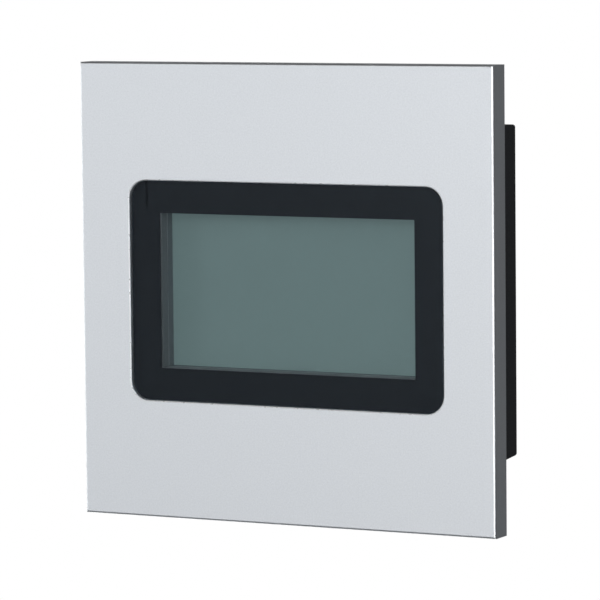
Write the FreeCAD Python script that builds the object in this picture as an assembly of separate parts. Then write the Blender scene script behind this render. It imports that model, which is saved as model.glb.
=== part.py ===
"""Flush wall touch panel: aluminium front plate, recessed graphic display and a plastic rear housing.

Frame: millimetres, +Z up, +X to the right of someone facing the panel, the panel faces -Y.
The origin is the centre of the front plate's back face, which is the plane of the wall.
"""
import FreeCAD
import Part
import math
import os

# ---------------------------------------------------------------- front plate
PLATE_SIDE = 100.0
PLATE_T = 5.6
PLATE_EDGE_R = 0.45
FRONT_Y = -PLATE_T

REBATE_W, REBATE_H, REBATE_R = 76.1, 48.5, 4.2
REBATE_CHAMFER = 0.2
LEDGE_W, LEDGE_H, LEDGE_R = 70.0, 42.5, 2.0

WALL_HOLE_SPACING = 88.0
TAPPED_R = 1.25
TAPPED_DEPTH = 3.5

# ---------------------------------------------------------------- lens and touch sensor
LENS_GAP = 0.1
LENS_T = 1.1
LENS_CHAMFER = 0.12
INK_T = 0.1
GASKET_T = 0.4
WINDOW_W, WINDOW_H = 61.8, 34.1
LENS_BACK_Y = FRONT_Y + LENS_T
INK_BACK_Y = LENS_BACK_Y + INK_T
LEDGE_Y = INK_BACK_Y + GASKET_T

SENSOR_W, SENSOR_H, SENSOR_T = 68.4, 41.0, 0.7
SENSOR_BACK_Y = INK_BACK_Y + SENSOR_T

# ---------------------------------------------------------------- display stack
DISPLAY_DEPTH = 5.2
POLARIZER_Y = INK_BACK_Y + DISPLAY_DEPTH
FRAME_W, FRAME_H = 69.4, 40.2
FRAME_BACK_Y = SENSOR_BACK_Y + 2.4
CARRIER_STEP = 0.12
POLARIZER_W, POLARIZER_H, POLARIZER_T = 63.6, 35.8, 0.2
CELL_W, CELL_H, CELL_T = 65.6, 37.6, 1.6
GUIDE_T = 2.4
STRIP_W, STRIP_BASE_T = 2.6, 1.0
LED_COUNT, LED_LENGTH, LED_INSET = 6, 3.0, 0.5
BACK_PLATE_T = 0.4
CELL_Y = POLARIZER_Y + POLARIZER_T
GUIDE_Y = CELL_Y + CELL_T
BACK_PLATE_Y = GUIDE_Y + GUIDE_T
STACK_BACK_Y = BACK_PLATE_Y + BACK_PLATE_T
FOAM_W, FOAM_H, FOAM_BAND = 60.0, 32.0, 6.0

# ---------------------------------------------------------------- circuit board
BOARD_W, BOARD_H, BOARD_T, BOARD_R = 71.0, 59.0, 1.6, 2.0
BOARD_Y = 8.4
BOARD_BACK_Y = BOARD_Y + BOARD_T
STANDOFF_X, STANDOFF_Z = 31.0, 27.0
STANDOFF_ACROSS_FLATS = 4.5
STUD_LENGTH = 3.0
SMALL_SCREW_R = 1.25
SMALL_HEAD_R, SMALL_HEAD_T = 2.25, 1.7
BOARD_SCREW_LENGTH = 6.0
# the shape of a pan head, as shares of its radius or its thickness
HEAD_ROUNDING, CROSS_ARM, CROSS_SLOT, CROSS_DEPTH = 0.45, 1.15, 0.26, 0.6

FLEX_T = 0.2
TOUCH_FLEX_W, LCD_RIBBON_W = 12.0, 24.0
TOUCH_FLEX_Z = -20.5
LCD_RIBBON_Z = 21.9
RIBBON_BEND_R = 1.2
FLEX_CLEARANCE = 1.0
CONNECTOR_T, CONNECTOR_D, CONNECTOR_ENDS = 2.0, 2.6, 4.0
FLEX_IN_CONNECTOR = 1.4

# ---------------------------------------------------------------- parts on the board's back
PROCESSOR_X, PROCESSOR_Z, PROCESSOR_SIDE = -8.0, 4.0, 10.0
PROCESSOR_LIFT, PROCESSOR_TOP = 0.1, 1.4
LEAD_COUNT, LEAD_PITCH, LEAD_W, LEAD_T, LEAD_REACH = 11, 0.8, 0.4, 0.5, 1.0
MEMORY_X, MEMORY_Z = 3.0, 5.0
MEMORY_W, MEMORY_H, MEMORY_T = 5.2, 6.0, 1.1
INDUCTOR_X, INDUCTOR_Z = -19.0, -20.0
INDUCTOR_SIDE, INDUCTOR_T, INDUCTOR_R, INDUCTOR_EDGE_R = 7.0, 3.8, 1.5, 0.4
CAPACITOR_X, CAPACITOR_Z = -28.0, (-12.0, -20.0)
CAN_R, CAN_T, CAN_EDGE_R = 3.15, 7.7, 0.5
CAN_FOOT_SIDE, CAN_FOOT_T, CAN_SEAT = 6.8, 0.8, 0.6
BATTERY_X, BATTERY_Z, BATTERY_R, BATTERY_T, BATTERY_EDGE_R = 22.0, 13.0, 8.0, 3.2, 0.3
HOLDER_FLOOR, HOLDER_WALL, HOLDER_GAP, HOLDER_ABOVE = 1.0, 1.2, 0.15, 0.7
HOLDER_GRIP = 2.5
HOLDER_LIP_W, HOLDER_LIP_H, HOLDER_LIP_T = 1.6, 6.0, 0.5
BUZZER_X, BUZZER_Z, BUZZER_R, BUZZER_T, BUZZER_EDGE_R = -24.0, 14.0, 6.0, 6.5, 0.4
BUZZER_PORT_R, BUZZER_PORT_DEPTH = 1.0, 1.5

# ---------------------------------------------------------------- pluggable terminal block
POLES = 4
PITCH = 5.08
TERMINAL_Z = -23.5
HEADER_W, HEADER_H, HEADER_WALL, HEADER_FLOOR = 22.4, 10.4, 0.8, 1.2
HEADER_END_Y = 17.4
PIN_SIDE = 1.0
PIN_HOLE_R = 0.75
PIN_TIP_Y, PIN_TAIL_Y = 15.5, BOARD_Y - 0.8
PLUG_NOSE_W, PLUG_NOSE_H = 20.4, 8.4
PLUG_NOSE_Y = 11.6
PLUG_W, PLUG_H = 21.2, 10.8
PLUG_SHOULDER_Y, PLUG_BACK_Y = 17.7, 23.5
CONTACT_SIDE, CONTACT_BORE, CONTACT_Y0, CONTACT_Y1 = 2.2, 1.3, 12.2, 16.0
CAGE_Y = 20.0
CAGE_W, CAGE_D, CAGE_H = 3.4, 3.0, 3.3
CAGE_Z0 = TERMINAL_Z - 3.4
CAGE_WINDOW_W, CAGE_WINDOW_H, CAGE_FLOOR = 2.4, 1.9, 0.5
CHAMBER_GAP = 0.2
CHAMBER_TOP = TERMINAL_Z + 1.8
CLAMP_SCREW_R, CLAMP_HEAD_R = 1.2, 1.7
CLAMP_HEAD_Z0, CLAMP_HEAD_Z1 = TERMINAL_Z + 2.55, TERMINAL_Z + 4.2
CLAMP_SLOT_W, CLAMP_SLOT_DEPTH = 0.6, 0.8
WIRE_ENTRY = 3.0
RUNNING_GAP = 0.1
CLAMP_SCREW_TIP = CAGE_Z0 + CAGE_FLOOR + CAGE_WINDOW_H - RUNNING_GAP

# ---------------------------------------------------------------- reset button and address switch
RESET_X, SWITCH_Z = 13.0, -7.0
RESET_SIDE, RESET_H = 6.0, 3.5
RESET_R, RESET_EDGE_R = 1.6, 0.3
RESET_WELL = 1.5
RESET_TRAVEL = 0.5
RESET_END_Y = 23.1
DIP_X = 25.0
DIP_W, DIP_H, DIP_T = 6.6, 6.2, 3.0
DIP_LEVERS = 2
DIP_PITCH = 2.54
DIP_LEVER_W, DIP_LEVER_H = 1.2, 1.4
DIP_TRAVEL = 1.8
DIP_SLOT_DEPTH, DIP_LEVER_PROUD = 1.0, 0.6

# ---------------------------------------------------------------- rear housing
HOUSING_FRONT_W, HOUSING_FRONT_H = 86.4, 74.8
HOUSING_BACK_W, HOUSING_BACK_H = 83.8, 72.2
HOUSING_R = 0.6
HOUSING_WALL = 2.0
HOUSING_BACK_Y = 23.7
HOUSING_EDGE_R = 0.6
RIM_GASKET_T = 0.5
BOSS_X, BOSS_Z, BOSS_R = 37.7, 31.8, 3.3
HOUSING_SCREW_LENGTH = 20.0
HOUSING_HEAD_R, HOUSING_HEAD_T = 2.4, 1.9
COUNTERBORE_R = 2.7
HOUSING_HOLE_R = 1.45
SCREW_TIP_Y = -3.0
HEAD_SEAT_Y = SCREW_TIP_Y + HOUSING_SCREW_LENGTH
PLUG_CUTOUT_GAP = 0.6
RESET_HOLE_GAP = 0.4
DIP_WINDOW_GAP, DIP_WINDOW_R = 0.7, 0.6
VENT_COUNT, VENT_PITCH, VENT_LENGTH, VENT_W, VENT_END_R = 7, 4.4, 46.0, 1.8, 0.88
VENT_TOP_Z = 30.0
LABEL_W, LABEL_H, LABEL_DEPTH, LABEL_R = 26.0, 14.0, 0.3, 1.0
LABEL_X, LABEL_Z = -24.0, -7.0


# ---------------------------------------------------------------- shape helpers
TOLERANCE = 1e-6


def vec(x, y, z):
    return FreeCAD.Vector(x, y, z)


def block(x0, x1, y0, y1, z0, z1):
    """Axis-aligned block between two corners."""
    return Part.makeBox(x1 - x0, y1 - y0, z1 - z0, vec(x0, y0, z0))


def slab(width, height, y0, y1, x=0.0, z=0.0):
    """Block centred on (x, z) that runs from y0 to y1."""
    return block(x - width / 2, x + width / 2, y0, y1, z - height / 2, z + height / 2)


def rod_y(x, z, radius, y0, y1):
    """Cylinder along Y."""
    return Part.makeCylinder(radius, y1 - y0, vec(x, y0, z), vec(0, 1, 0))


def rod_z(x, y, radius, z0, z1):
    """Cylinder along Z."""
    return Part.makeCylinder(radius, z1 - z0, vec(x, y, z0), vec(0, 0, 1))


def rounded_wire(width, height, radius, y):
    """Rounded rectangle in the plane of one Y, made of four lines and four arcs."""
    a, b = width / 2, height / 2
    diagonal = radius * (1 - math.sqrt(0.5))
    lines = [
        ((-a + radius, -b), (a - radius, -b)),
        ((a, -b + radius), (a, b - radius)),
        ((a - radius, b), (-a + radius, b)),
        ((-a, b - radius), (-a, -b + radius)),
    ]
    bends = [
        (a - diagonal, -b + diagonal),
        (a - diagonal, b - diagonal),
        (-a + diagonal, b - diagonal),
        (-a + diagonal, -b + diagonal),
    ]

    def at(point):
        return vec(point[0], y, point[1])

    edges = []
    for i, (start, end) in enumerate(lines):
        after = lines[(i + 1) % 4][0]
        edges.append(Part.makeLine(at(start), at(end)))
        edges.append(Part.Arc(at(end), at(bends[i]), at(after)).toShape())
    return Part.Wire(edges)


def rounded_slab(width, height, radius, y0, y1, x=0.0, z=0.0):
    """Slab with rounded corners, centred on (x, z), from y0 to y1."""
    face = Part.Face(rounded_wire(width, height, radius, y0))
    solid = face.extrude(vec(0, y1 - y0, 0))
    solid.translate(vec(x, 0, z))
    return solid


def edges_at_y(solid, y, reach=math.inf):
    """Edges that lie in the plane of one Y, within a reach of the Y axis if one is given."""
    found = []
    for edge in solid.Edges:
        b = edge.BoundBox
        flat = abs(b.YMin - y) < TOLERANCE and abs(b.YMax - y) < TOLERANCE
        near = max(abs(b.XMin), abs(b.XMax), abs(b.ZMin), abs(b.ZMax)) < reach
        if flat and near:
            found.append(edge)
    return found


def corners(x, z):
    """The four points of a rectangle centred on the origin."""
    return [(sx * x, sz * z) for sx in (-1, 1) for sz in (-1, 1)]


def pole_x():
    """The X of each pole of the terminal block."""
    return [(i - (POLES - 1) / 2) * PITCH for i in range(POLES)]


def lever_x():
    """The X of each lever of the address switch."""
    return [DIP_X + (i - (DIP_LEVERS - 1) / 2) * DIP_PITCH for i in range(DIP_LEVERS)]


# ---------------------------------------------------------------- front plate and lens
def front_plate():
    plate = slab(PLATE_SIDE, PLATE_SIDE, FRONT_Y, 0)
    plate = plate.makeFillet(PLATE_EDGE_R, edges_at_y(plate, FRONT_Y))
    plate = plate.cut(rounded_slab(REBATE_W, REBATE_H, REBATE_R, FRONT_Y, LEDGE_Y))
    opening_edges = edges_at_y(plate, FRONT_Y, PLATE_SIDE / 2 - 1)
    plate = plate.makeChamfer(REBATE_CHAMFER, opening_edges)
    plate = plate.cut(rounded_slab(LEDGE_W, LEDGE_H, LEDGE_R, LEDGE_Y, 0))
    for x, z in corners(WALL_HOLE_SPACING / 2, WALL_HOLE_SPACING / 2):
        plate = plate.cut(rod_y(x, z, TAPPED_R, -TAPPED_DEPTH, 0))
    for x, z in corners(STANDOFF_X, STANDOFF_Z):
        plate = plate.cut(rod_y(x, z, TAPPED_R, -STUD_LENGTH, 0))
    for x, z in corners(BOSS_X, BOSS_Z):
        plate = plate.cut(rod_y(x, z, TAPPED_R, SCREW_TIP_Y, 0))
    return plate


def lens_outline(y0, y1):
    """Outline that the lens, its printed border and its adhesive share."""
    return rounded_slab(REBATE_W - 2 * LENS_GAP, REBATE_H - 2 * LENS_GAP, REBATE_R - LENS_GAP, y0, y1)


def cover_lens():
    lens = lens_outline(FRONT_Y, LENS_BACK_Y)
    return lens.makeChamfer(LENS_CHAMFER, edges_at_y(lens, FRONT_Y))


def lens_border():
    """Opaque print on the lens's back, with the clear viewing window in it."""
    return lens_outline(LENS_BACK_Y, INK_BACK_Y).cut(slab(WINDOW_W, WINDOW_H, LENS_BACK_Y, INK_BACK_Y))


def lens_gasket():
    """Adhesive frame that holds the lens on the plate's ledge."""
    opening = rounded_slab(LEDGE_W, LEDGE_H, LEDGE_R, INK_BACK_Y, LEDGE_Y)
    return lens_outline(INK_BACK_Y, LEDGE_Y).cut(opening)


def touch_sensor():
    return slab(SENSOR_W, SENSOR_H, INK_BACK_Y, SENSOR_BACK_Y)


def touch_flex():
    """Tail bonded to the sensor's lower edge, running back to its connector."""
    tail_end = BOARD_Y - CONNECTOR_T + FLEX_IN_CONNECTOR
    tab_end = SENSOR_BACK_Y + FLEX_T
    tab = slab(TOUCH_FLEX_W, FLEX_T, SENSOR_BACK_Y, tab_end, 0, TOUCH_FLEX_Z + FLEX_T / 2)
    tail = slab(TOUCH_FLEX_W, FLEX_T, SENSOR_BACK_Y, tail_end, 0, TOUCH_FLEX_Z)
    return tail.fuse(tab).removeSplitter()


# ---------------------------------------------------------------- display
def display_frame():
    """Dark light-shield whose inner walls line the well in front of the display."""
    outer = slab(FRAME_W, FRAME_H, SENSOR_BACK_Y, FRAME_BACK_Y)
    frame = outer.cut(slab(WINDOW_W, WINDOW_H, SENSOR_BACK_Y, FRAME_BACK_Y))
    half = TOUCH_FLEX_W / 2 + FLEX_CLEARANCE
    relief_top = TOUCH_FLEX_Z + FLEX_CLEARANCE
    relief = block(-half, half, SENSOR_BACK_Y, SENSOR_BACK_Y + 2 * FLEX_T, -FRAME_H / 2, relief_top)
    return frame.cut(relief)


def lcd_carrier():
    """Frame that holds the display cell and its light guide, with a lip around the viewing area."""
    carrier = slab(FRAME_W, FRAME_H, FRAME_BACK_Y, BACK_PLATE_Y)
    lip_w, lip_h = WINDOW_W - 2 * CARRIER_STEP, WINDOW_H - 2 * CARRIER_STEP
    carrier = carrier.cut(slab(lip_w, lip_h, FRAME_BACK_Y, POLARIZER_Y))
    carrier = carrier.cut(slab(CELL_W, CELL_H, POLARIZER_Y, BACK_PLATE_Y))
    half = LCD_RIBBON_W / 2 + FLEX_CLEARANCE
    ribbon_slot = block(-half, half, GUIDE_Y - FLEX_T, GUIDE_Y + FLEX_T, CELL_H / 2, FRAME_H / 2)
    return carrier.cut(ribbon_slot)


def lcd_polarizer():
    return slab(POLARIZER_W, POLARIZER_H, POLARIZER_Y, CELL_Y)


def lcd_glass():
    return slab(CELL_W, CELL_H, CELL_Y, GUIDE_Y)


def light_guide():
    half = CELL_W / 2
    return block(-half + STRIP_W, half, GUIDE_Y, BACK_PLATE_Y, -CELL_H / 2, CELL_H / 2)


def backlight_strip():
    """Row of light-emitting diodes on a narrow board, along the light guide's left edge."""
    left = -CELL_W / 2
    strip = block(left, left + STRIP_BASE_T, GUIDE_Y, BACK_PLATE_Y, -CELL_H / 2, CELL_H / 2)
    led_w = STRIP_W - STRIP_BASE_T
    led_x = left + STRIP_BASE_T + led_w / 2
    for i in range(LED_COUNT):
        z = (i - (LED_COUNT - 1) / 2) * CELL_H / LED_COUNT
        strip = strip.fuse(slab(led_w, LED_LENGTH, GUIDE_Y + LED_INSET, BACK_PLATE_Y - LED_INSET, led_x, z))
    return strip.removeSplitter()


def lcd_back_plate():
    return slab(FRAME_W, FRAME_H, BACK_PLATE_Y, STACK_BACK_Y)


def lcd_ribbon():
    """Ribbon from the cell's upper ledge, bent back through a quarter turn to its connector."""
    y0 = GUIDE_Y
    start_z = CELL_H / 2
    bend_z = LCD_RIBBON_Z - RIBBON_BEND_R
    end_y = BOARD_Y - CONNECTOR_T + FLEX_IN_CONNECTOR
    half = math.sqrt(0.5)
    x0 = -LCD_RIBBON_W / 2

    def arc(radius, turn):
        middle = vec(x0, y0 + RIBBON_BEND_R - radius * half, bend_z + radius * half)
        ends = [vec(x0, y0 + RIBBON_BEND_R - radius, bend_z), vec(x0, y0 + RIBBON_BEND_R, bend_z + radius)]
        return Part.Arc(ends[turn], middle, ends[1 - turn]).toShape()

    outer, inner = RIBBON_BEND_R + FLEX_T / 2, RIBBON_BEND_R - FLEX_T / 2
    points = [
        vec(x0, y0 - FLEX_T / 2, start_z),
        vec(x0, y0 - FLEX_T / 2, bend_z),
        vec(x0, y0 + RIBBON_BEND_R, bend_z + outer),
        vec(x0, end_y, bend_z + outer),
        vec(x0, end_y, bend_z + inner),
        vec(x0, y0 + RIBBON_BEND_R, bend_z + inner),
        vec(x0, y0 + FLEX_T / 2, bend_z),
        vec(x0, y0 + FLEX_T / 2, start_z),
    ]
    edges = [
        Part.makeLine(points[0], points[1]),
        arc(outer, 0),
        Part.makeLine(points[2], points[3]),
        Part.makeLine(points[3], points[4]),
        Part.makeLine(points[4], points[5]),
        arc(inner, 1),
        Part.makeLine(points[6], points[7]),
        Part.makeLine(points[7], points[0]),
    ]
    return Part.Face(Part.Wire(edges)).extrude(vec(LCD_RIBBON_W, 0, 0))


def lcd_foam():
    """Foam frame that presses the display stack forward, off the circuit board."""
    outer = slab(FOAM_W, FOAM_H, STACK_BACK_Y, BOARD_Y)
    return outer.cut(slab(FOAM_W - 2 * FOAM_BAND, FOAM_H - 2 * FOAM_BAND, STACK_BACK_Y, BOARD_Y))


# ---------------------------------------------------------------- circuit board and what is on it
def hexagon(x, z, across_flats):
    """Closed hexagon in the plane of the wall."""
    radius = across_flats / math.sqrt(3)
    angles = [math.radians(60 * i) for i in range(7)]
    return Part.makePolygon([vec(x + radius * math.cos(a), 0, z + radius * math.sin(a)) for a in angles])


def board_standoffs():
    """Hexagonal spacers with a stud that screws into the plate."""
    pieces = []
    for x, z in corners(STANDOFF_X, STANDOFF_Z):
        body = Part.Face(hexagon(x, z, STANDOFF_ACROSS_FLATS)).extrude(vec(0, BOARD_Y, 0))
        body = body.fuse(rod_y(x, z, TAPPED_R, -STUD_LENGTH, 0))
        pieces.append(body.cut(rod_y(x, z, SMALL_SCREW_R, BOARD_BACK_Y - BOARD_SCREW_LENGTH, BOARD_Y)))
    return Part.makeCompound(pieces)


def pan_screw(x, z, shank_r, tip_y, seat_y, head_r, head_t):
    """Pan-head screw along Y with a cross recess, its head on the +Y side."""
    head = rod_y(x, z, head_r, seat_y, seat_y + head_t)
    top = seat_y + head_t
    head = head.makeFillet(head_t * HEAD_ROUNDING, edges_at_y(head, top))
    screw = head.fuse(rod_y(x, z, shank_r, tip_y, seat_y))
    arm, slot, deep = head_r * CROSS_ARM, head_r * CROSS_SLOT, head_t * CROSS_DEPTH
    cross = slab(arm, slot, top - deep, top, x, z).fuse(slab(slot, arm, top - deep, top, x, z))
    return screw.cut(cross)


def board_screws():
    tip = BOARD_BACK_Y - BOARD_SCREW_LENGTH
    return Part.makeCompound([
        pan_screw(x, z, SMALL_SCREW_R, tip, BOARD_BACK_Y, SMALL_HEAD_R, SMALL_HEAD_T)
        for x, z in corners(STANDOFF_X, STANDOFF_Z)
    ])


def main_board():
    board = rounded_slab(BOARD_W, BOARD_H, BOARD_R, BOARD_Y, BOARD_BACK_Y)
    for x, z in corners(STANDOFF_X, STANDOFF_Z):
        board = board.cut(rod_y(x, z, SMALL_SCREW_R + RUNNING_GAP, BOARD_Y, BOARD_BACK_Y))
    for x in pole_x():
        board = board.cut(rod_y(x, TERMINAL_Z, PIN_HOLE_R, BOARD_Y, BOARD_BACK_Y))
    return board


def flex_connector(flex_w, flex_z):
    """Slide-in connector on the board's front, with the slot that takes a flex tail."""
    body = slab(flex_w + CONNECTOR_ENDS, CONNECTOR_D, BOARD_Y - CONNECTOR_T, BOARD_Y, 0, flex_z)
    slot_y = BOARD_Y - CONNECTOR_T
    return body.cut(slab(flex_w, FLEX_T, slot_y, slot_y + FLEX_IN_CONNECTOR, 0, flex_z))


def processor():
    """Flat package with leads along its four sides."""
    x, z = PROCESSOR_X, PROCESSOR_Z
    side, across = PROCESSOR_SIDE, PROCESSOR_SIDE + 2 * LEAD_REACH
    lead_top = BOARD_BACK_Y + LEAD_T
    chip = slab(side, side, BOARD_BACK_Y + PROCESSOR_LIFT, BOARD_BACK_Y + PROCESSOR_TOP, x, z)
    for i in range(LEAD_COUNT):
        step = (i - (LEAD_COUNT - 1) / 2) * LEAD_PITCH
        chip = chip.fuse(slab(across, LEAD_W, BOARD_BACK_Y, lead_top, x, z + step))
        chip = chip.fuse(slab(LEAD_W, across, BOARD_BACK_Y, lead_top, x + step, z))
    return chip.removeSplitter()


def memory_chip():
    return slab(MEMORY_W, MEMORY_H, BOARD_BACK_Y, BOARD_BACK_Y + MEMORY_T, MEMORY_X, MEMORY_Z)


def power_inductor():
    top = BOARD_BACK_Y + INDUCTOR_T
    inductor = rounded_slab(
        INDUCTOR_SIDE, INDUCTOR_SIDE, INDUCTOR_R, BOARD_BACK_Y, top, INDUCTOR_X, INDUCTOR_Z)
    return inductor.makeFillet(INDUCTOR_EDGE_R, edges_at_y(inductor, top))


def supply_capacitors():
    """Two aluminium can capacitors standing on the board, each with its plastic foot."""
    pieces = []
    top = BOARD_BACK_Y + CAN_T
    for z in CAPACITOR_Z:
        can = rod_y(CAPACITOR_X, z, CAN_R, BOARD_BACK_Y + CAN_SEAT, top)
        can = can.makeFillet(CAN_EDGE_R, edges_at_y(can, top))
        foot = slab(CAN_FOOT_SIDE, CAN_FOOT_SIDE, BOARD_BACK_Y, BOARD_BACK_Y + CAN_FOOT_T, CAPACITOR_X, z)
        pieces.append(can.fuse(foot))
    return Part.makeCompound(pieces)


def coin_cell_holder():
    """Open tray around the coin cell, with a hold-down lip at each side."""
    x, z, floor = BATTERY_X, BATTERY_Z, BOARD_BACK_Y + HOLDER_FLOOR
    top = floor + BATTERY_T + HOLDER_ABOVE
    tray = rod_y(x, z, BATTERY_R + HOLDER_WALL, BOARD_BACK_Y, top)
    tray = tray.cut(rod_y(x, z, BATTERY_R + HOLDER_GAP, floor, top))
    tray = tray.cut(slab(2 * (BATTERY_R - HOLDER_GRIP), 3 * BATTERY_R, floor, top, x, z))
    for side in (-1, 1):
        lip_x = x + side * (BATTERY_R + HOLDER_WALL / 2 - HOLDER_LIP_W / 2 + HOLDER_GAP)
        tray = tray.fuse(slab(HOLDER_LIP_W, HOLDER_LIP_H, top - HOLDER_LIP_T, top, lip_x, z))
    return tray.removeSplitter()


def coin_cell():
    base = BOARD_BACK_Y + HOLDER_FLOOR
    cell = rod_y(BATTERY_X, BATTERY_Z, BATTERY_R, base, base + BATTERY_T)
    return cell.makeFillet(BATTERY_EDGE_R, edges_at_y(cell, base + BATTERY_T))


def buzzer():
    """Round sounder with its port in the middle of its face."""
    top = BOARD_BACK_Y + BUZZER_T
    can = rod_y(BUZZER_X, BUZZER_Z, BUZZER_R, BOARD_BACK_Y, top)
    can = can.makeFillet(BUZZER_EDGE_R, edges_at_y(can, top))
    return can.cut(rod_y(BUZZER_X, BUZZER_Z, BUZZER_PORT_R, top - BUZZER_PORT_DEPTH, top))


# ---------------------------------------------------------------- pluggable terminal block
def terminal_header():
    """Shroud on the board that guides the plug over its pins."""
    header = slab(HEADER_W, HEADER_H, BOARD_BACK_Y, HEADER_END_Y, 0, TERMINAL_Z)
    cavity_w, cavity_h = HEADER_W - 2 * HEADER_WALL, HEADER_H - 2 * HEADER_WALL
    floor_y = BOARD_BACK_Y + HEADER_FLOOR
    header = header.cut(slab(cavity_w, cavity_h, floor_y, HEADER_END_Y, 0, TERMINAL_Z))
    for x in pole_x():
        header = header.cut(slab(PIN_SIDE, PIN_SIDE, BOARD_BACK_Y, floor_y, x, TERMINAL_Z))
    return header


def terminal_pins():
    pins = [slab(PIN_SIDE, PIN_SIDE, PIN_TAIL_Y, PIN_TIP_Y, x, TERMINAL_Z) for x in pole_x()]
    return Part.makeCompound(pins)


def terminal_plug():
    """Plug body with, for each pole, a contact socket, a clamp chamber, a wire entry and a screw well."""
    nose = slab(PLUG_NOSE_W, PLUG_NOSE_H, PLUG_NOSE_Y, PLUG_SHOULDER_Y, 0, TERMINAL_Z)
    back = slab(PLUG_W, PLUG_H, PLUG_SHOULDER_Y, PLUG_BACK_Y, 0, TERMINAL_Z)
    plug = nose.fuse(back)
    half_w, half_d = CAGE_W / 2 + CHAMBER_GAP, CAGE_D / 2 + CHAMBER_GAP
    plug_top = TERMINAL_Z + PLUG_H / 2
    for x in pole_x():
        socket = slab(CONTACT_SIDE, CONTACT_SIDE, CONTACT_Y0, CONTACT_Y1, x, TERMINAL_Z)
        mouth = slab(CONTACT_BORE, CONTACT_BORE, PLUG_NOSE_Y, CONTACT_Y0, x, TERMINAL_Z)
        chamber = block(x - half_w, x + half_w, CAGE_Y - half_d, CAGE_Y + half_d,
                        CAGE_Z0 - CHAMBER_GAP, CHAMBER_TOP)
        entry = block(x - WIRE_ENTRY / 2, x + WIRE_ENTRY / 2, CAGE_Y + half_d, PLUG_BACK_Y,
                      CAGE_Z0 + CHAMBER_GAP, CAGE_Z0 + CHAMBER_GAP + WIRE_ENTRY)
        shank = rod_z(x, CAGE_Y, CLAMP_SCREW_R + RUNNING_GAP, CHAMBER_TOP, CLAMP_HEAD_Z0)
        well = rod_z(x, CAGE_Y, CLAMP_HEAD_R + RUNNING_GAP, CLAMP_HEAD_Z0 - RUNNING_GAP / 2, plug_top)
        for hollow in (socket, mouth, chamber, entry, shank, well):
            plug = plug.cut(hollow)
    return plug


def plug_contacts():
    """Socket contacts that grip the header's pins."""
    pieces = []
    for x in pole_x():
        contact = slab(CONTACT_SIDE, CONTACT_SIDE, CONTACT_Y0, CONTACT_Y1, x, TERMINAL_Z)
        bore = slab(CONTACT_BORE, CONTACT_BORE, CONTACT_Y0, CONTACT_Y1, x, TERMINAL_Z)
        pieces.append(contact.cut(bore))
    return Part.makeCompound(pieces)


def terminal_screw(x):
    """Slotted clamp screw, held in its well, that lifts the wire cage as it turns."""
    head = rod_z(x, CAGE_Y, CLAMP_HEAD_R, CLAMP_HEAD_Z0, CLAMP_HEAD_Z1)
    screw = head.fuse(rod_z(x, CAGE_Y, CLAMP_SCREW_R, CLAMP_SCREW_TIP, CLAMP_HEAD_Z0))
    half, reach = CLAMP_SLOT_W / 2, CLAMP_HEAD_R + RUNNING_GAP
    slot = block(x - half, x + half, CAGE_Y - reach, CAGE_Y + reach,
                 CLAMP_HEAD_Z1 - CLAMP_SLOT_DEPTH, CLAMP_HEAD_Z1)
    return screw.cut(slot)


def wire_clamp(x):
    """Rising cage that pulls the wire up against the screw."""
    cage = block(x - CAGE_W / 2, x + CAGE_W / 2, CAGE_Y - CAGE_D / 2, CAGE_Y + CAGE_D / 2,
                 CAGE_Z0, CAGE_Z0 + CAGE_H)
    window_z = CAGE_Z0 + CAGE_FLOOR
    window = block(x - CAGE_WINDOW_W / 2, x + CAGE_WINDOW_W / 2, CAGE_Y - CAGE_D, CAGE_Y + CAGE_D,
                   window_z, window_z + CAGE_WINDOW_H)
    bore = rod_z(x, CAGE_Y, CLAMP_SCREW_R + RUNNING_GAP / 2, window_z, CAGE_Z0 + CAGE_H)
    return cage.cut(window).cut(bore)


# ---------------------------------------------------------------- reset button and address switch
def reset_switch():
    body = slab(RESET_SIDE, RESET_SIDE, BOARD_BACK_Y, BOARD_BACK_Y + RESET_H, RESET_X, SWITCH_Z)
    well_y = BOARD_BACK_Y + RESET_H - RESET_WELL
    return body.cut(rod_y(RESET_X, SWITCH_Z, RESET_R + RUNNING_GAP, well_y, BOARD_BACK_Y + RESET_H))


def reset_button():
    foot_y = BOARD_BACK_Y + RESET_H - RESET_WELL + RESET_TRAVEL + RUNNING_GAP
    stem = rod_y(RESET_X, SWITCH_Z, RESET_R, foot_y, RESET_END_Y)
    return stem.makeFillet(RESET_EDGE_R, edges_at_y(stem, RESET_END_Y))


def address_switch():
    top = BOARD_BACK_Y + DIP_T
    body = slab(DIP_W, DIP_H, BOARD_BACK_Y, top, DIP_X, SWITCH_Z)
    slot_h = DIP_TRAVEL + DIP_LEVER_H + 2 * RUNNING_GAP
    for x in lever_x():
        slot = slab(DIP_LEVER_W + 2 * RUNNING_GAP, slot_h, top - DIP_SLOT_DEPTH, top, x, SWITCH_Z)
        body = body.cut(slot)
    return body


def address_lever(x):
    """Small slider, at rest at the lower end of its slot."""
    top = BOARD_BACK_Y + DIP_T
    foot_y = top - DIP_SLOT_DEPTH + RUNNING_GAP
    return slab(DIP_LEVER_W, DIP_LEVER_H, foot_y, top + DIP_LEVER_PROUD, x, SWITCH_Z - DIP_TRAVEL / 2)


# ---------------------------------------------------------------- rear housing
def housing_width_at(y):
    """Outer width and height of the tapering housing at one depth."""
    part = y / HOUSING_BACK_Y
    width = HOUSING_FRONT_W + (HOUSING_BACK_W - HOUSING_FRONT_W) * part
    height = HOUSING_FRONT_H + (HOUSING_BACK_H - HOUSING_FRONT_H) * part
    return width, height


def tapered(y0, y1, inset, radius):
    """Tapering block that follows the housing's outside, inset from it all round."""
    wires = []
    for y in (y0, y1):
        width, height = housing_width_at(y)
        wires.append(rounded_wire(width - 2 * inset, height - 2 * inset, radius, y))
    return Part.makeLoft(wires, True, True)


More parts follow.
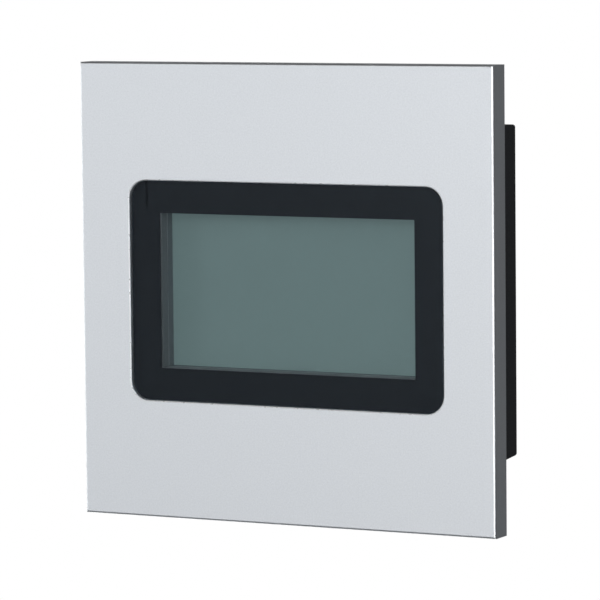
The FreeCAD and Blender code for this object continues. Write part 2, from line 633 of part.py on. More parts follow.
def rear_housing():
    back_inner = HOUSING_BACK_Y - HOUSING_WALL
    shell = tapered(RIM_GASKET_T, HOUSING_BACK_Y, 0, HOUSING_R)
    shell = shell.makeFillet(HOUSING_EDGE_R, edges_at_y(shell, HOUSING_BACK_Y))
    shell = shell.cut(tapered(RIM_GASKET_T, back_inner, HOUSING_WALL, HOUSING_R / 2))
    for x, z in corners(BOSS_X, BOSS_Z):
        shell = shell.fuse(rod_y(x, z, BOSS_R, 0, back_inner + HOUSING_WALL / 2))
    for x, z in corners(BOSS_X, BOSS_Z):
        shell = shell.cut(rod_y(x, z, HOUSING_HOLE_R, 0, HEAD_SEAT_Y))
        shell = shell.cut(rod_y(x, z, COUNTERBORE_R, HEAD_SEAT_Y, HOUSING_BACK_Y))
    for hollow in housing_openings(back_inner):
        shell = shell.cut(hollow)
    return shell


def housing_openings(back_inner):
    """Openings of the back wall: terminal plug, reset button, address switch, vents and label recess."""
    plug_gap, window_gap = 2 * PLUG_CUTOUT_GAP, 2 * DIP_WINDOW_GAP
    y0, y1 = back_inner, HOUSING_BACK_Y
    openings = [
        slab(PLUG_W + plug_gap, PLUG_H + plug_gap, y0, y1, 0, TERMINAL_Z),
        rod_y(RESET_X, SWITCH_Z, RESET_R + RESET_HOLE_GAP, y0, y1),
        rounded_slab(DIP_W + window_gap, DIP_H + window_gap, DIP_WINDOW_R, y0, y1, DIP_X, SWITCH_Z),
        rounded_slab(LABEL_W, LABEL_H, LABEL_R, y1 - LABEL_DEPTH, y1, LABEL_X, LABEL_Z),
    ]
    for i in range(VENT_COUNT):
        z = VENT_TOP_Z - i * VENT_PITCH
        openings.append(rounded_slab(VENT_LENGTH, VENT_W, VENT_END_R, y0, y1, 0, z))
    return openings


def housing_gasket():
    """Flat seal between the housing's rim and the plate."""
    outer = tapered(0, RIM_GASKET_T, 0, HOUSING_R)
    ring = outer.cut(tapered(0, RIM_GASKET_T, HOUSING_WALL, HOUSING_R / 2))
    for x, z in corners(BOSS_X, BOSS_Z):
        ring = ring.cut(rod_y(x, z, BOSS_R, 0, RIM_GASKET_T))
    return ring


def housing_screws():
    return Part.makeCompound([
        pan_screw(x, z, SMALL_SCREW_R, SCREW_TIP_Y, HEAD_SEAT_Y, HOUSING_HEAD_R, HOUSING_HEAD_T)
        for x, z in corners(BOSS_X, BOSS_Z)
    ])


# ---------------------------------------------------------------- every node
NODES = {
    "front_plate": front_plate(),
    "cover_lens": cover_lens(),
    "lens_border": lens_border(),
    "lens_gasket": lens_gasket(),
    "touch_sensor": touch_sensor(),
    "touch_flex": touch_flex(),
    "display_frame": display_frame(),
    "lcd_carrier": lcd_carrier(),
    "lcd_polarizer": lcd_polarizer(),
    "lcd_glass": lcd_glass(),
    "light_guide": light_guide(),
    "backlight_strip": backlight_strip(),
    "lcd_back_plate": lcd_back_plate(),
    "lcd_ribbon": lcd_ribbon(),
    "lcd_foam": lcd_foam(),
    "board_standoffs": board_standoffs(),
    "board_screws": board_screws(),
    "main_board": main_board(),
    "touch_connector": flex_connector(TOUCH_FLEX_W, TOUCH_FLEX_Z),
    "lcd_connector": flex_connector(LCD_RIBBON_W, LCD_RIBBON_Z),
    "processor": processor(),
    "memory_chip": memory_chip(),
    "power_inductor": power_inductor(),
    "supply_capacitors": supply_capacitors(),
    "coin_cell_holder": coin_cell_holder(),
    "coin_cell": coin_cell(),
    "buzzer": buzzer(),
    "terminal_header": terminal_header(),
    "terminal_pins": terminal_pins(),
    "terminal_plug": terminal_plug(),
    "plug_contacts": plug_contacts(),
    "reset_switch": reset_switch(),
    "reset_button": reset_button(),
    "address_switch": address_switch(),
    "rear_housing": rear_housing(),
    "housing_gasket": housing_gasket(),
    "housing_screws": housing_screws(),
}
for number, place in enumerate(pole_x(), start=1):
    NODES[f"terminal_screw_{number}"] = terminal_screw(place)
    NODES[f"wire_clamp_{number}"] = wire_clamp(place)
for number, place in enumerate(lever_x(), start=1):
    NODES[f"address_lever_{number}"] = address_lever(place)

os.makedirs("parts", exist_ok=True)
for name, shape in NODES.items():
    shape.exportStep(f"parts/{name}.step")
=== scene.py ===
"""Looks of the wall touch panel: materials, small fittings, studio light and camera. Metres throughout."""
import math

import bmesh
import bpy
from mathutils import Matrix, Vector


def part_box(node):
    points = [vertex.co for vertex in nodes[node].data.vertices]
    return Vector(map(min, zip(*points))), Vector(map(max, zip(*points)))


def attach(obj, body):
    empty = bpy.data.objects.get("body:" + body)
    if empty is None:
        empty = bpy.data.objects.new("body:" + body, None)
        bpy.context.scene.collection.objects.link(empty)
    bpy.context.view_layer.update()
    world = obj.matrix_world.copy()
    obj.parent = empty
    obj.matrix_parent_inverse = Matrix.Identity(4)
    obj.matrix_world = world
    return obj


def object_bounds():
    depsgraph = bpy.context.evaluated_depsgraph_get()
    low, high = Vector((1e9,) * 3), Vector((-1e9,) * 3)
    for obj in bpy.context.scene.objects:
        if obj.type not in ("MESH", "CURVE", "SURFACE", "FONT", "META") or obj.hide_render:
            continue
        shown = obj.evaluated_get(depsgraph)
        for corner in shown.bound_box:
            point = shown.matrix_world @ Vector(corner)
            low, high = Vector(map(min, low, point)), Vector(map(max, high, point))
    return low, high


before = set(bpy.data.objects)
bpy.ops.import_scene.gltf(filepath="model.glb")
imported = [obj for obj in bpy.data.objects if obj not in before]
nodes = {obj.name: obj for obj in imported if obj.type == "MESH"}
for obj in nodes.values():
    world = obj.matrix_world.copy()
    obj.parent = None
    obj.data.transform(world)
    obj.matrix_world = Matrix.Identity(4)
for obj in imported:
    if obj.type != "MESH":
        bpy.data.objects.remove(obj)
cad_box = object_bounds()
MM = 0.001

# ---------------------------------------------------------------- camera
CAMERA_AZIMUTH = 27.344
CAMERA_ELEVATION = 5.323
CAMERA_ROLL = 0.560
CAMERA_DISTANCE = 0.8797
CAMERA_AIM = (0.00401, -0.0056, -0.00080)
CAMERA_LENS = 245.3
CAMERA_SENSOR = 36.0
CAMERA_CLIP = (0.05, 50)


def direction(azimuth, elevation):
    """Unit vector from the object towards a place at that azimuth, 0 being in front, and elevation."""
    a, e = math.radians(azimuth), math.radians(elevation)
    return Vector((math.sin(a) * math.cos(e), -math.cos(a) * math.cos(e), math.sin(e)))


def make_camera():
    data = bpy.data.cameras.new("camera")
    data.lens = CAMERA_LENS
    data.sensor_width = CAMERA_SENSOR
    data.clip_start, data.clip_end = CAMERA_CLIP
    camera = bpy.data.objects.new("camera", data)
    bpy.context.scene.collection.objects.link(camera)
    towards = direction(CAMERA_AZIMUTH, CAMERA_ELEVATION)
    turn = (-towards).to_track_quat("-Z", "Y").to_matrix().to_4x4()
    roll = Matrix.Rotation(-math.radians(CAMERA_ROLL), 4, "Z")
    place = Matrix.Translation(Vector(CAMERA_AIM) + towards * CAMERA_DISTANCE)
    camera.matrix_world = place @ turn @ roll
    bpy.context.scene.camera = camera


# ---------------------------------------------------------------- studio
WORLD_DIM, WORLD_GLOW, WORLD_SEEN = 0.11, 1.4, 1.0
GLOW_AZIMUTH, GLOW_ELEVATION = 12, 14
GLOW_EDGE = 0.66
GLOW_TINT = (0.97, 0.985, 1.0)
FLOOR_DROP = 0.5
FLOOR_SIZE = 8.0
FLOOR_TONE = (0.25, 0.26, 0.27)
WHITE = (1, 1, 1)
WARM_WHITE = (1.0, 0.995, 0.985)
COOL_WHITE = (0.97, 0.985, 1.0)
BLUE_WHITE = (0.95, 0.98, 1.0)


def softbox(name, place, distance, size, radiance, tint=WHITE):
    """Area light that faces the object from an azimuth and elevation, set by the radiance of its surface."""
    width, height = size
    data = bpy.data.lights.new(name, "AREA")
    data.shape = "RECTANGLE"
    data.size, data.size_y = width, height
    data.energy = radiance * math.pi * width * height
    data.color = tint
    light = bpy.data.objects.new(name, data)
    bpy.context.scene.collection.objects.link(light)
    towards = direction(*place)
    light.location = towards * distance
    light.rotation_mode = "QUATERNION"
    light.rotation_quaternion = (-towards).to_track_quat("-Z", "Y")
    light.visible_camera = False


def make_lights():
    softbox("key", (9, 8), 1.1, (0.75, 0.80), 3.21, WARM_WHITE)
    softbox("left_fill", (-58, 4), 1.1, (0.50, 0.90), 2.3, COOL_WHITE)
    softbox("right_rim", (63, -6), 1.2, (0.24, 1.0), 1.6, BLUE_WHITE)
    softbox("left_rim", (-117, 2), 1.2, (0.40, 1.0), 2.2)
    softbox("back_fill", (218, -12), 1.2, (0.6, 0.8), 6.0)


def split_by_ray(tree, to_object, to_camera, output_kind):
    """Ends a shader tree so that the camera sees one shader and the object is lit by the other."""
    ray = tree.nodes.new("ShaderNodeLightPath")
    mix = tree.nodes.new("ShaderNodeMixShader")
    out = tree.nodes.new(output_kind)
    tree.links.new(ray.outputs["Is Camera Ray"], mix.inputs["Fac"])
    tree.links.new(to_object.outputs[0], mix.inputs[1])
    tree.links.new(to_camera.outputs[0], mix.inputs[2])
    tree.links.new(mix.outputs[0], out.inputs["Surface"])


def make_world():
    """White to the eye; to the object a dim room with a wide soft glow in front."""
    world = bpy.data.worlds.new("studio")
    bpy.context.scene.world = world
    world.use_nodes = True
    tree = world.node_tree
    tree.nodes.clear()
    coords = tree.nodes.new("ShaderNodeTexCoord")
    facing = tree.nodes.new("ShaderNodeVectorMath")
    facing.operation = "DOT_PRODUCT"
    facing.inputs[1].default_value = direction(GLOW_AZIMUTH, GLOW_ELEVATION)
    ramp = tree.nodes.new("ShaderNodeMapRange")
    ramp.interpolation_type = "SMOOTHSTEP"
    ramp.inputs["From Min"].default_value = GLOW_EDGE
    ramp.inputs["From Max"].default_value = 1.0
    ramp.inputs["To Min"].default_value = WORLD_DIM
    ramp.inputs["To Max"].default_value = WORLD_GLOW
    glow = tree.nodes.new("ShaderNodeBackground")
    glow.inputs["Color"].default_value = (*GLOW_TINT, 1)
    seen = tree.nodes.new("ShaderNodeBackground")
    seen.inputs["Color"].default_value = (*WHITE, 1)
    seen.inputs["Strength"].default_value = WORLD_SEEN
    tree.links.new(coords.outputs["Generated"], facing.inputs[0])
    tree.links.new(facing.outputs["Value"], ramp.inputs["Value"])
    tree.links.new(ramp.outputs["Result"], glow.inputs["Strength"])
    split_by_ray(tree, glow, seen, "ShaderNodeOutputWorld")


def make_floor():
    """Pale floor well below the panel, which hangs as it does on a wall."""
    half = FLOOR_SIZE / 2
    z = cad_box[0].z - FLOOR_DROP
    corners = [(-half, -half, z), (half, -half, z), (half, half, z), (-half, half, z)]
    mesh = bpy.data.meshes.new("floor")
    mesh.from_pydata(corners, [], [(0, 1, 2, 3)])
    floor = bpy.data.objects.new("floor", mesh)
    bpy.context.scene.collection.objects.link(floor)
    look = bpy.data.materials.new("floor")
    look.use_nodes = True
    tree = look.node_tree
    tree.nodes.clear()
    pale = tree.nodes.new("ShaderNodeBsdfDiffuse")
    pale.inputs["Color"].default_value = (*FLOOR_TONE, 1)
    white = tree.nodes.new("ShaderNodeEmission")
    white.inputs["Strength"].default_value = WORLD_SEEN
    split_by_ray(tree, pale, white, "ShaderNodeOutputMaterial")
    mesh.materials.append(look)


# ---------------------------------------------------------------- material helpers
EVEN = (1, 1, 1)
DARK_BRICK = 0.85
BRICK_LENGTH = 2.2
NOISE_LOW, NOISE_HIGH = 0.3, 0.7
PANE_ROUGH_SPREAD = 0.3
PANE_PATCH = 9 * MM
PANE_WAVE, PANE_RELIEF = 14 * MM, 0.002 * MM
MIRROR_POWER = 5.0


class Look:
    """One procedural material, built on a Principled shader."""

    def __init__(self, name, metallic=0.0, ior=1.5, specular=0.5):
        self.material = bpy.data.materials.new(name)
        self.material.use_nodes = True
        self.tree = self.material.node_tree
        self.shader = self.tree.nodes["Principled BSDF"]
        self.shader.inputs["Metallic"].default_value = metallic
        self.shader.inputs["IOR"].default_value = ior
        self.shader.inputs["Specular IOR Level"].default_value = specular
        self.coords = self.tree.nodes.new("ShaderNodeTexCoord").outputs["Object"]
        self.normal = None

    def node(self, kind, **settings):
        made = self.tree.nodes.new(kind)
        for key, value in settings.items():
            setattr(made, key, value)
        return made

    def link(self, source, target):
        self.tree.links.new(source, target)

    def noise(self, size, detail=2.0, stretch=EVEN):
        """Noise with blobs about `size` metres across, drawn out along an axis where stretch is above 1."""
        mapping = self.node("ShaderNodeMapping")
        mapping.inputs["Scale"].default_value = [1 / (size * s) for s in stretch]
        noise = self.node("ShaderNodeTexNoise")
        noise.inputs["Scale"].default_value = 1.0
        noise.inputs["Detail"].default_value = detail
        noise.inputs["Roughness"].default_value = 0.5
        self.link(self.coords, mapping.inputs["Vector"])
        self.link(mapping.outputs["Vector"], noise.inputs["Vector"])
        return noise.outputs["Fac"]

    def ranged(self, value, low, high, from_low=NOISE_LOW, from_high=NOISE_HIGH):
        span = self.node("ShaderNodeMapRange")
        span.inputs["From Min"].default_value = from_low
        span.inputs["From Max"].default_value = from_high
        span.inputs["To Min"].default_value = low
        span.inputs["To Max"].default_value = high
        self.link(value, span.inputs["Value"])
        return span.outputs["Result"]

    def between(self, factor, colour_a, colour_b):
        mix = self.node("ShaderNodeMix", data_type="RGBA")
        mix.inputs["A"].default_value = (*colour_a, 1)
        mix.inputs["B"].default_value = (*colour_b, 1)
        for socket in mix.inputs:
            if socket.name == "Factor" and socket.type == "VALUE":
                self.link(factor, socket)
        return [output for output in mix.outputs if output.type == "RGBA"][0]

    def colour(self, base, spread=0.04, size=2 * MM, detail=2.0, stretch=EVEN):
        """Base colour with a soft light and dark mottle round it."""
        dark = [c * (1 - spread) for c in base]
        light = [min(1, c * (1 + spread)) for c in base]
        mixed = self.between(self.ranged(self.noise(size, detail, stretch), 0, 1), dark, light)
        self.link(mixed, self.shader.inputs["Base Color"])
        return self

    def traces(self, ground, line, pitch, width):
        """Copper tracks that show lighter through a solder mask, in the XZ plane."""
        turn = self.node("ShaderNodeMapping")
        turn.inputs["Rotation"].default_value = (math.radians(-90), 0, 0)
        brick = self.node("ShaderNodeTexBrick")
        brick.inputs["Color1"].default_value = (*ground, 1)
        brick.inputs["Color2"].default_value = (*[DARK_BRICK * c for c in ground], 1)
        brick.inputs["Mortar"].default_value = (*line, 1)
        brick.inputs["Scale"].default_value = 1.0
        brick.inputs["Mortar Size"].default_value = width / 2
        brick.inputs["Brick Width"].default_value = BRICK_LENGTH * pitch
        brick.inputs["Row Height"].default_value = pitch
        self.link(self.coords, turn.inputs["Vector"])
        self.link(turn.outputs["Vector"], brick.inputs["Vector"])
        self.link(brick.outputs["Color"], self.shader.inputs["Base Color"])
        return self

    def roughness(self, low, high, size=1 * MM, stretch=EVEN):
        value = self.ranged(self.noise(size, 3.0, stretch), low, high)
        self.link(value, self.shader.inputs["Roughness"])
        return self

    def bump(self, size, height, strength=1.0, detail=2.0, stretch=EVEN):
        """Fine relief; a second call lies on top of the first."""
        bump = self.node("ShaderNodeBump")
        bump.inputs["Strength"].default_value = strength
        bump.inputs["Distance"].default_value = height
        self.link(self.noise(size, detail, stretch), bump.inputs["Height"])
        if self.normal is not None:
            self.link(self.normal, bump.inputs["Normal"])
        self.normal = bump.outputs["Normal"]
        self.link(self.normal, self.shader.inputs["Normal"])
        return self


def clear_pane(name, tint, roughness, reflect_ior, sheen):
    """Clear flat glass: what is behind shows through unbent, and its faces mirror by their angle."""
    look = Look(name)
    look.tree.nodes.remove(look.shader)
    look.shader = look.node("ShaderNodeBsdfGlossy")
    look.shader.inputs["Color"].default_value = (*sheen, 1)
    look.roughness(roughness * (1 - PANE_ROUGH_SPREAD), roughness * (1 + PANE_ROUGH_SPREAD), PANE_PATCH)
    look.bump(PANE_WAVE, PANE_RELIEF)
    through = look.node("ShaderNodeBsdfTransparent")
    through.inputs["Color"].default_value = (*tint, 1)
    facing = look.node("ShaderNodeLayerWeight")
    facing.inputs["Blend"].default_value = 0.5
    steep = look.node("ShaderNodeMath", operation="POWER")
    steep.inputs[1].default_value = MIRROR_POWER
    look.link(facing.outputs["Facing"], steep.inputs[0])
    head_on = ((reflect_ior - 1) / (reflect_ior + 1)) ** 2
    mix = look.node("ShaderNodeMixShader")
    look.link(look.ranged(steep.outputs["Value"], head_on, 1, 0, 1), mix.inputs["Fac"])
    look.link(through.outputs[0], mix.inputs[1])
    look.link(look.shader.outputs[0], mix.inputs[2])
    look.link(mix.outputs[0], look.tree.nodes["Material Output"].inputs["Surface"])
    return look


def dress(look, *names):
    """Gives a look to whole CAD nodes."""
    for name in names:
        mesh = nodes[name].data
        mesh.materials.clear()
        mesh.materials.append(look.material)
        mesh.polygons.foreach_set("material_index", [0] * len(mesh.polygons))


SLOPE_STEEPEST, SLOPE_FLATTEST = -0.1, -0.995
OUTER_SHARE = 0.9


def dress_slopes(look, name, outer):
    """Gives a look to the rounded or sloped front edges of a node: the outer ones, or the opening's."""
    mesh = nodes[name].data
    mesh.materials.append(look.material)
    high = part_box(name)[1]
    edge = OUTER_SHARE * max(high.x, high.z)
    for face in mesh.polygons:
        sloped = SLOPE_FLATTEST < face.normal.y < SLOPE_STEEPEST
        at_edge = max(abs(face.center.x), abs(face.center.z)) > edge
        if sloped and at_edge == outer:
            face.material_index = len(mesh.materials) - 1
# ---------------------------------------------------------------- looks of the CAD nodes
# Painted light: a faint glow on the screen film, which is no lamp, that lifts the shade the recess walls cast
# on it
PAINTED_SCREEN_LIGHT = (0.053, 0.076, 0.077)
POLES = range(1, 5)


def dress_front():
    plate = Look("blasted_aluminium", metallic=1.0)
    plate.colour((0.668, 0.688, 0.714), 0.034, 0.35 * MM, 3.0)
    plate.roughness(0.56, 0.64, 0.30 * MM)
    plate.bump(0.16 * MM, 0.005 * MM, 0.5).bump(0.5 * MM, 0.003 * MM, 0.4)
    dress(plate, "front_plate")
    cut = Look("cut_edge", metallic=1.0)
    cut.colour((0.78, 0.80, 0.82), 0.02, 0.5 * MM).roughness(0.28, 0.34).bump(0.5 * MM, 0.001 * MM, 0.3)
    dress_slopes(cut, "front_plate", outer=True)
    # The opening's chamfers: a real cut edge, partly a painted highlight, since the near-white diffuse half
    # shines whatever the light
    bright = Look("bright_cut_and_painted_highlight", metallic=0.5)
    bright.colour((0.98, 0.985, 0.99), 0.01, 0.5 * MM).roughness(0.26, 0.34).bump(0.2 * MM, 0.002 * MM, 0.4)
    dress_slopes(bright, "front_plate", outer=False)

    dress(clear_pane("cover_glass", (0.985, 0.995, 0.995), 0.15, 1.30, (0.70, 0.82, 0.95)), "cover_lens")
    dress(clear_pane("sensor_glass", (0.965, 0.975, 0.97), 0.15, 1.10, (1, 1, 1)), "touch_sensor")

    # Black print, but lighter and bluer than the ink: painted reflection that stands in for part of the
    # glass's sheen
    ink = Look("border_print_and_painted_reflection", specular=0.12)
    ink.colour((0.0080, 0.0106, 0.0143), 0.08, 0.4 * MM).roughness(0.35, 0.5).bump(0.3 * MM, 0.002 * MM, 0.3)
    dress(ink, "lens_border")

    frame_plastic = Look("shield_plastic", specular=0.3)
    frame_plastic.colour((0.166, 0.177, 0.195), 0.05, 0.6 * MM).roughness(0.5, 0.65)
    frame_plastic.bump(0.12 * MM, 0.008 * MM, 0.5)
    dress(frame_plastic, "display_frame")

    carrier = Look("carrier_plastic", specular=0.3)
    carrier.colour((0.154, 0.173, 0.193), 0.05, 0.6 * MM).roughness(0.45, 0.6)
    carrier.bump(0.12 * MM, 0.006 * MM, 0.5)
    dress(carrier, "lcd_carrier")

    film = Look("anti_glare_polarizer", specular=0.35)
    film.colour((0.088, 0.127, 0.132), 0.015, 0.5 * MM, 2.0).roughness(0.34, 0.42, 0.4 * MM)
    film.bump(0.06 * MM, 0.003 * MM, 0.4)
    # The screen film glows faintly: painted light that evens out the shade near the recess walls
    film.shader.inputs["Emission Color"].default_value = (*PAINTED_SCREEN_LIGHT, 1)
    film.shader.inputs["Emission Strength"].default_value = 1.0
    dress(film, "lcd_polarizer")

    adhesive = Look("acrylic_adhesive")
    adhesive.colour((0.03, 0.03, 0.03), 0.1).roughness(0.6, 0.8).bump(0.3 * MM, 0.01 * MM)
    dress(adhesive, "lens_gasket")


def dress_display():
    cell = Look("cell_glass")
    cell.colour((0.30, 0.37, 0.37), 0.03).roughness(0.08, 0.15).bump(3 * MM, 0.002 * MM)
    dress(cell, "lcd_glass")
    guide = Look("milky_guide")
    guide.colour((0.80, 0.84, 0.84), 0.03).roughness(0.2, 0.35).bump(0.8 * MM, 0.004 * MM)
    dress(guide, "light_guide")
    strip = Look("white_solder_mask")
    strip.colour((0.75, 0.75, 0.70), 0.04).roughness(0.3, 0.45).bump(0.4 * MM, 0.004 * MM)
    dress(strip, "backlight_strip")
    sheet = Look("passivated_sheet", metallic=1.0)
    sheet.colour((0.50, 0.51, 0.52), 0.06, 1 * MM, 3.0, (12, 1, 1))
    sheet.roughness(0.25, 0.45, 0.5 * MM, (30, 1, 1))
    sheet.bump(0.2 * MM, 0.003 * MM, 0.5, 3.0, (40, 1, 1))
    dress(sheet, "lcd_back_plate")
    flex = Look("polyimide_film", specular=0.6)
    flex.colour((0.50, 0.24, 0.04), 0.10, 1.5 * MM, 2.0, (1, 12, 12))
    flex.roughness(0.2, 0.35).bump(0.8 * MM, 0.004 * MM)
    dress(flex, "touch_flex", "lcd_ribbon")
    foam = Look("black_foam", specular=0.1)
    foam.colour((0.025, 0.025, 0.025), 0.3, 0.3 * MM, 4.0).roughness(0.85, 0.95).bump(0.3 * MM, 0.08 * MM)
    dress(foam, "lcd_foam")


def dress_board():
    board = Look("solder_mask", specular=0.6)
    board.traces((0.010, 0.085, 0.033), (0.030, 0.170, 0.065), 3.4 * MM, 0.32 * MM)
    board.roughness(0.22, 0.36, 1.5 * MM).bump(0.25 * MM, 0.01 * MM, 0.6)
    dress(board, "main_board")
    brass = Look("turned_brass", metallic=1.0)
    brass.colour((0.72, 0.52, 0.22), 0.08, 0.5 * MM)
    brass.roughness(0.22, 0.38, 0.3 * MM, (6, 1, 6)).bump(0.1 * MM, 0.004 * MM)
    dress(brass, "board_standoffs")
    tin = Look("tin_plating", metallic=1.0)
    tin.colour((0.66, 0.64, 0.58), 0.06).roughness(0.25, 0.4).bump(0.2 * MM, 0.004 * MM)
    dress(tin, "terminal_pins", "plug_contacts")
    zinc = Look("zinc_plating", metallic=1.0)
    zinc.colour((0.52, 0.54, 0.57), 0.09, 0.8 * MM, 3.0)
    zinc.roughness(0.24, 0.42, 0.4 * MM).bump(0.15 * MM, 0.005 * MM, 0.7)
    dress(zinc, "board_screws", "housing_screws", *[f"terminal_screw_{pole}" for pole in POLES])
    yellow_zinc = Look("yellow_zinc", metallic=1.0)
    yellow_zinc.colour((0.66, 0.58, 0.38), 0.12, 0.7 * MM, 3.0)
    yellow_zinc.roughness(0.3, 0.45).bump(0.2 * MM, 0.004 * MM)
    dress(yellow_zinc, *[f"wire_clamp_{pole}" for pole in POLES])
    ivory = Look("ivory_nylon")
    ivory.colour((0.62, 0.57, 0.42), 0.04).roughness(0.4, 0.55).bump(0.2 * MM, 0.006 * MM)
    dress(ivory, "touch_connector", "lcd_connector")
    epoxy = Look("moulded_epoxy", specular=0.4)
    epoxy.colour((0.016, 0.016, 0.017), 0.15, 0.3 * MM, 3.0).roughness(0.5, 0.7).bump(0.12 * MM, 0.01 * MM)
    dress(epoxy, "processor", "memory_chip", "power_inductor")
    black = Look("black_nylon", specular=0.4)
    black.colour((0.022, 0.022, 0.023), 0.1, 0.5 * MM).roughness(0.4, 0.55).bump(0.15 * MM, 0.008 * MM)
    dress(black, "coin_cell_holder", "buzzer", "reset_switch")
    can = Look("drawn_can", metallic=1.0)
    can.colour((0.70, 0.71, 0.73), 0.05, 0.6 * MM, 2.0, (1, 6, 1)).roughness(0.22, 0.36, 0.3 * MM, (1, 20, 1))
    can.bump(0.1 * MM, 0.003 * MM)
    dress(can, "supply_capacitors")
    nickel = Look("nickel_cell", metallic=1.0)
    nickel.colour((0.62, 0.61, 0.58), 0.05, 1 * MM).roughness(0.16, 0.3, 0.5 * MM).bump(0.2 * MM, 0.004 * MM)
    dress(nickel, "coin_cell")


def dress_back():
    housing = Look("textured_abs", ior=1.46, specular=0.45)
    housing.colour((0.0240, 0.0252, 0.0285), 0.10, 0.5 * MM, 3.0).roughness(0.50, 0.64, 0.35 * MM)
    housing.bump(0.16 * MM, 0.022 * MM, 0.7, 3.0).bump(1.1 * MM, 0.01 * MM, 0.3)
    dress(housing, "rear_housing")
    seal = Look("rubber_seal", specular=0.2)
    seal.colour((0.012, 0.012, 0.012), 0.1).roughness(0.7, 0.85).bump(0.2 * MM, 0.01 * MM)
    dress(seal, "housing_gasket")
    green = Look("terminal_polyamide", specular=0.5)
    green.colour((0.022, 0.190, 0.075), 0.06, 0.8 * MM).roughness(0.36, 0.5).bump(0.18 * MM, 0.010 * MM, 0.6)
    dress(green, "terminal_header", "terminal_plug")
    pale = Look("off_white_acetal", specular=0.5)
    pale.colour((0.66, 0.65, 0.60), 0.03).roughness(0.3, 0.42).bump(0.2 * MM, 0.006 * MM)
    dress(pale, "reset_button", "address_lever_1", "address_lever_2")
    red = Look("red_polyester", specular=0.5)
    red.colour((0.30, 0.018, 0.016), 0.06).roughness(0.35, 0.5).bump(0.2 * MM, 0.006 * MM)
    dress(red, "address_switch")


# ---------------------------------------------------------------- small fittings that the CAD leaves out
def finish_piece(name, shape, looks):
    """Turns a bmesh into an object that rides with the panel."""
    bmesh.ops.recalc_face_normals(shape, faces=shape.faces)
    mesh = bpy.data.meshes.new(name)
    shape.to_mesh(mesh)
    shape.free()
    for look in looks:
        mesh.materials.append(look.material)
    piece = bpy.data.objects.new(name, mesh)
    bpy.context.scene.collection.objects.link(piece)
    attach(piece, "panel")


def add_block(shape, centre, size, index, bevel):
    """Adds a block with softened edges, whose faces take one material index."""
    before = set(shape.faces)
    corners = bmesh.ops.create_cube(shape, size=1.0)["verts"]
    for corner in corners:
        corner.co = Vector(centre) + Vector([a * b for a, b in zip(corner.co, size)])
    edges = list(dict.fromkeys(edge for corner in corners for edge in corner.link_edges))
    bmesh.ops.bevel(shape, geom=edges, offset=bevel, segments=2, profile=0.5, affect="EDGES")
    for face in set(shape.faces) - before:
        face.material_index = index


CORNER_STEPS = 6


def add_sheet(shape, x, z, width, height, radius, y0, y1, index):
    """Adds a flat sheet with round corners, from y0 to y1."""
    outline = []
    for quarter, (side_x, side_z) in enumerate([(1, 1), (-1, 1), (-1, -1), (1, -1)]):
        arc_x = x + side_x * (width / 2 - radius)
        arc_z = z + side_z * (height / 2 - radius)
        for step in range(CORNER_STEPS + 1):
            angle = math.radians(90) * (quarter + step / CORNER_STEPS)
            outline.append((arc_x + radius * math.cos(angle), arc_z + radius * math.sin(angle)))
    front = [shape.verts.new((px, y0, pz)) for px, pz in outline]
    back = [shape.verts.new((px, y1, pz)) for px, pz in outline]
    faces = [shape.faces.new(front), shape.faces.new(back[::-1])]
    for here in range(len(outline)):
        after = (here + 1) % len(outline)
        faces.append(shape.faces.new((front[here], back[here], back[after], front[after])))
    for face in faces:
        face.material_index = index


LABEL_X, LABEL_Z = -24 * MM, -7 * MM
LABEL_W, LABEL_H, LABEL_R, LABEL_T = 25.2 * MM, 13.2 * MM, 0.7 * MM, 0.10 * MM
LABEL_RECESS = 0.3 * MM
LABEL_MARGIN = 1.0 * MM
PRINT_T = 0.02 * MM
RULE_T = 0.18 * MM
RULE_ROUNDING = 0.3
TEXT_RULE_X, TEXT_RULE_W, TEXT_RULE_PITCH = 3.2 * MM, 15.0 * MM, 2.9 * MM
BOX_X, BOX_Z, BOX_W, BOX_H = -8.6 * MM, 2.6 * MM, 3.4 * MM, 2.2 * MM


def rating_label():
    """Blank silver label in the housing's recess, printed only with rules and empty boxes."""
    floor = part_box("rear_housing")[1].y - LABEL_RECESS
    top = floor + LABEL_T
    shape = bmesh.new()
    add_sheet(shape, LABEL_X, LABEL_Z, LABEL_W, LABEL_H, LABEL_R, floor, top, 0)

    def rule(x, z, width, height):
        radius = RULE_ROUNDING * min(width, height)
        add_sheet(shape, LABEL_X + x, LABEL_Z + z, width, height, radius, top, top + PRINT_T, 1)

    half_w, half_h = LABEL_W / 2 - LABEL_MARGIN, LABEL_H / 2 - LABEL_MARGIN
    for side in (-1, 1):
        rule(0, side * half_h, 2 * half_w, RULE_T)
        rule(side * half_w, 0, RULE_T, 2 * half_h - RULE_T)
    for row in (-1, 0, 1):
        rule(TEXT_RULE_X, row * TEXT_RULE_PITCH, TEXT_RULE_W, RULE_T)
    for side in (-1, 1):
        rule(BOX_X, side * BOX_Z, BOX_W, BOX_H)
    foil = Look("label_foil", metallic=0.6)
    foil.colour((0.58, 0.59, 0.60), 0.02, 0.6 * MM).roughness(0.34, 0.44).bump(0.3 * MM, 0.003 * MM, 0.4)
    ink = Look("label_print", specular=0.3)
    ink.colour((0.020, 0.020, 0.022), 0.1, 0.4 * MM).roughness(0.45, 0.55).bump(0.2 * MM, 0.002 * MM, 0.4)
    finish_piece("rating_label", shape, [foil, ink])


CHIP_L, CHIP_W, CHIP_T = 1.6 * MM, 0.8 * MM, 0.7 * MM
CHIP_END = 0.35 * MM
CHIP_CORE = 0.94
CORE_BEVEL, END_BEVEL = 0.04 * MM, 0.05 * MM
RESISTOR_T = 0.6 * CHIP_T
PASSIVE_PITCH = 2.8 * MM
CERAMIC, RESISTOR, PLATING = 0, 1, 2
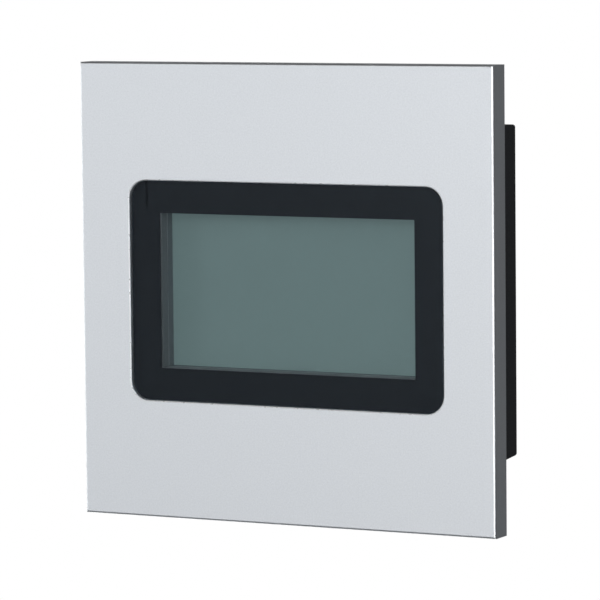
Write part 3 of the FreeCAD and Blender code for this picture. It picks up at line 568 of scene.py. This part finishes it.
# the x of the first chip, the z of the row, how many chips, and what their cores are
PASSIVE_ROWS = [
    (-12 * MM, -6 * MM, 6, CERAMIC),
    (-12 * MM, -10 * MM, 6, RESISTOR),
    (-14 * MM, -14 * MM, 7, CERAMIC),
    (-14 * MM, 16 * MM, 6, CERAMIC),
    (-14 * MM, 20 * MM, 6, RESISTOR),
]


def add_chip(shape, x, face, z, kind):
    """Adds a chip with plated ends on the board's back face."""
    tall = CHIP_T if kind == CERAMIC else RESISTOR_T
    middle = face + tall / 2
    core = (CHIP_CORE * CHIP_W, CHIP_CORE * tall, CHIP_L - 2 * CHIP_END)
    add_block(shape, (x, middle, z), core, kind, CORE_BEVEL)
    for side in (-1, 1):
        end_z = z + side * (CHIP_L - CHIP_END) / 2
        add_block(shape, (x, middle, end_z), (CHIP_W, tall, CHIP_END), PLATING, END_BEVEL)


def board_passives():
    """Rows of small ceramic capacitors and resistors between the larger parts."""
    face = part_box("main_board")[1].y
    shape = bmesh.new()
    for first_x, z, count, kind in PASSIVE_ROWS:
        for place in range(count):
            add_chip(shape, first_x + place * PASSIVE_PITCH, face, z, kind)
    ceramic = Look("tan_ceramic")
    ceramic.colour((0.36, 0.25, 0.15), 0.08, 0.4 * MM).roughness(0.4, 0.55).bump(0.1 * MM, 0.004 * MM)
    resistor = Look("resistor_glaze")
    resistor.colour((0.018, 0.018, 0.020), 0.1, 0.4 * MM).roughness(0.25, 0.4).bump(0.1 * MM, 0.003 * MM)
    tin = Look("chip_ends", metallic=1.0)
    tin.colour((0.68, 0.67, 0.64), 0.06, 0.3 * MM).roughness(0.28, 0.42).bump(0.1 * MM, 0.004 * MM)
    finish_piece("board_passives", shape, [ceramic, resistor, tin])


CRYSTAL_X, CRYSTAL_Z = -19 * MM, 4 * MM
CRYSTAL_END_FLAT = 0.1 * MM
CRYSTAL_FLANGE = (4.6 * MM, 10.6 * MM, 0.4 * MM)
CRYSTAL_CAN = (3.7 * MM, 9.7 * MM, 3.3 * MM)
CRYSTAL_TOP = (3.3 * MM, 9.3 * MM, 3.5 * MM)


def timing_crystal():
    """Low metal-can crystal beside the processor, in three tiers given by width, length and top height."""
    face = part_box("main_board")[1].y
    shape = bmesh.new()
    foot = 0
    for width, length, top in (CRYSTAL_FLANGE, CRYSTAL_CAN, CRYSTAL_TOP):
        radius = (width - CRYSTAL_END_FLAT) / 2
        add_sheet(shape, CRYSTAL_X, CRYSTAL_Z, width, length, radius, face + foot, face + top, 0)
        foot = top
    can = Look("crystal_can", metallic=1.0)
    can.colour((0.62, 0.63, 0.65), 0.05, 0.6 * MM).roughness(0.2, 0.34, 0.4 * MM).bump(0.2 * MM, 0.003 * MM)
    finish_piece("timing_crystal", shape, [can])


# ---------------------------------------------------------------- all of it
bpy.context.scene.view_settings.view_transform = "Standard"
make_camera()
make_world()
make_floor()
make_lights()
dress_front()
dress_display()
dress_board()
dress_back()
rating_label()
board_passives()
timing_crystal()
